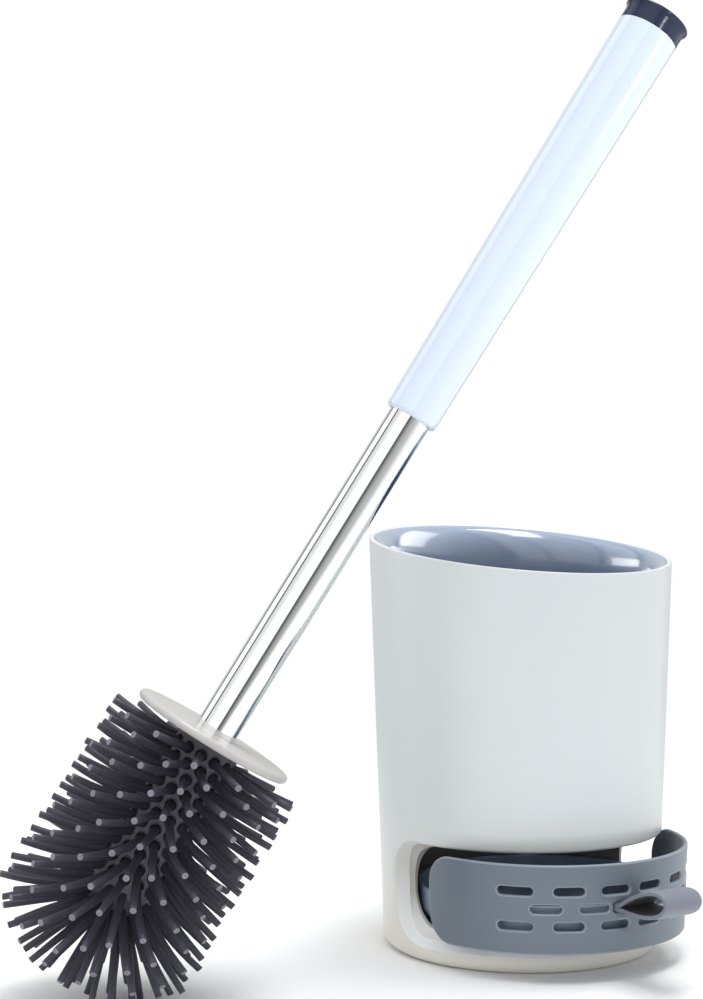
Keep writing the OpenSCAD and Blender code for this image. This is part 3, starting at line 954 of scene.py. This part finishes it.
ground = Moulding().mesh
rows_out = [0.0, 0.12, 0.3, 0.6, 1.2, 2.4, 5.0]
lines = [[ground.verts.new((0, 0.1, 0))]]
for r in rows_out[1:]:
    turns = [math.tau * k / 64 for k in range(64)]
    lines.append([ground.verts.new((r * math.cos(t), 0.1 + r * math.sin(t), 0)) for t in turns])
for k in range(64):
    ground.faces.new((lines[0][0], lines[1][k], lines[1][(k + 1) % 64]))
for one, other in zip(lines[1:], lines[2:]):
    for k in range(64):
        ground.faces.new((one[k], other[k], other[(k + 1) % 64], one[(k + 1) % 64]))
data = bpy.data.meshes.new("pale_floor")
ground.to_mesh(data)
ground.free()
floor = bpy.data.objects.new("pale_floor", data)
bpy.context.scene.collection.objects.link(floor)
paper = Finish.start("pale floor", Roughness=0.9)
tone = paper.mottle((0.97, 0.97, 0.97), (0.98, 0.98, 0.98), paper.grain(3.0, 2.0))
reach = paper.node("ShaderNodeVectorMath", {"operation": "DISTANCE"}, out=1, i0=paper.place(),
                   i1=(-0.07, 0.0, 0.0))
fade = paper.node("ShaderNodeValToRGB", {"stops": [(0.34, (1, 1, 1)), (0.58, (0, 0, 0))]}, Fac=reach)
paper.feed(Base_Color=tone, Alpha=fade)
floor.data.materials.append(paper.material)

eye = Vector((-0.4212, -0.5640, 0.1704))
ahead = Vector((0.5234, 0.8521, -0.0047)).normalized()
right_of = Vector((0.8521, -0.5234, 0))
along_brush = (lean.to_3x3() @ Vector((0, 0, 1))).normalized()
to_eye = (-ahead + along_brush * ahead.dot(along_brush)).normalized()
to_left = to_eye.cross(along_brush).normalized()
if to_left.dot(right_of) > 0:
    to_left = -to_left


def lamp(name, offset, size, power, aim=(-0.06, -0.03, 0.12), on=()):
    """A soft panel lamp, placed as right, towards the camera, and up from the cup. With on it
    lights only those pieces, as a card held close to them would."""
    light = bpy.data.lights.new(name, "AREA")
    light.shape, light.size, light.size_y, light.energy = "RECTANGLE", *size, power
    unit = bpy.data.objects.new(name, light)
    flat_ahead = Vector((ahead.x, ahead.y, 0)).normalized()
    unit.location = right_of * offset[0] - flat_ahead * offset[1] + Vector((0, 0, offset[2]))
    unit.rotation_euler = (Vector(aim) - unit.location).to_track_quat("-Z", "Y").to_euler()
    bpy.context.scene.collection.objects.link(unit)
    if on:
        lit = bpy.data.collections.new(name)
        for piece in on:
            lit.objects.link(piece)
        unit.light_linking.receiver_collection = lit
    return unit


lamp("overhead strip", (0.12, 0.12, 1.25), (0.9, 0.34), 8.5)
lamp("grip panel", (0.60, 0.36, 0.42), (0.16, 0.5), 2.2, aim=(0.0, -0.06, 0.27), on=(grip,))
lamp("liner panel, right", (0.85, -0.38, 0.66), (0.7, 0.6), 5.0, aim=(0, 0, 0.14), on=(liner,))
lamp("liner panel, left", (-0.90, -0.46, 0.36), (0.7, 0.5), 5.0, aim=(0, 0, 0.14), on=(liner,))
cap_at = lean @ Vector((0, 0, 0.381))
cap_turn = math.radians(27)              # how far round the brush the strip stands
beam = (along_brush * ahead.dot(along_brush) + to_eye * math.cos(cap_turn)
        - to_left * math.sin(cap_turn)).normalized()
strip_lamp = lamp("cap strip", (0, 0, 0), (0.02, 0.4), 1.6, on=(cap,))
strip_lamp.location = cap_at + beam * 0.6
strip_lamp.rotation_euler = Matrix((along_brush.cross(beam).normalized(),
                                    beam.cross(along_brush.cross(beam)).normalized(),
                                    beam)).transposed().to_euler()

# the room: plain white to look at, even for soft light, and hung with dark and light cards for
# what gloss and chrome mirror; the cards run along the brush
world = bpy.data.worlds.new("studio room")
bpy.context.scene.world = world
world.use_nodes = True
room = Finish(world.node_tree, None)
back = next(n for n in world.node_tree.nodes if n.type == "BACKGROUND")
way = room.node("ShaderNodeTexCoord", out=0)
forward = room.node("ShaderNodeVectorMath", {"operation": "DOT_PRODUCT"}, out=1, i0=way, i1=tuple(to_eye))
sideways = room.node("ShaderNodeVectorMath", {"operation": "DOT_PRODUCT"}, out=1, i0=way, i1=tuple(to_left))
turn = room.maths("ARCTAN2", sideways, forward)
cards = [(-180, .6), (-153, .6), (-150, .15), (-144, .15), (-141, 1.2), (-64, 1.15), (-40, .62), (-22, .5),
         (-8, .28), (-3, .12), (3, .12), (6, 1.1), (10, 1.2), (52, 1.2), (60, .95), (80, .8), (82, .1),
         (88, .1), (91, 1.2), (124, 1.2), (127, .15), (135, .15), (139, .65), (180, .6)]
mirrored = room.node("ShaderNodeValToRGB", {"stops": [((a + 180) / 360, (v, v, v)) for a, v in cards]},
                     Fac=turn / math.tau + 0.5)
looking = room.node("ShaderNodeLightPath", out=0)
mirroring = room.node("ShaderNodeLightPath", out=3)
light = room.blend(mirroring, (0.815, 0.82, 0.835, 1), mirrored)
light = room.blend(looking, light, (1.0, 1.0, 1.0, 1))
room.tree.links.new(light.socket, back.inputs["Color"])

lens = bpy.data.cameras.new("camera")
lens.sensor_fit = "VERTICAL"
lens.sensor_height = 36
lens.lens = 1853.27 / 999 * 36
lens.clip_start, lens.clip_end = 0.01, 50
camera = bpy.data.objects.new("camera", lens)
bpy.context.scene.collection.objects.link(camera)
camera.location = eye
camera.rotation_euler = ahead.to_track_quat("-Z", "Y").to_euler()
bpy.context.scene.camera = camera
bpy.context.scene.view_settings.view_transform = "Standard"
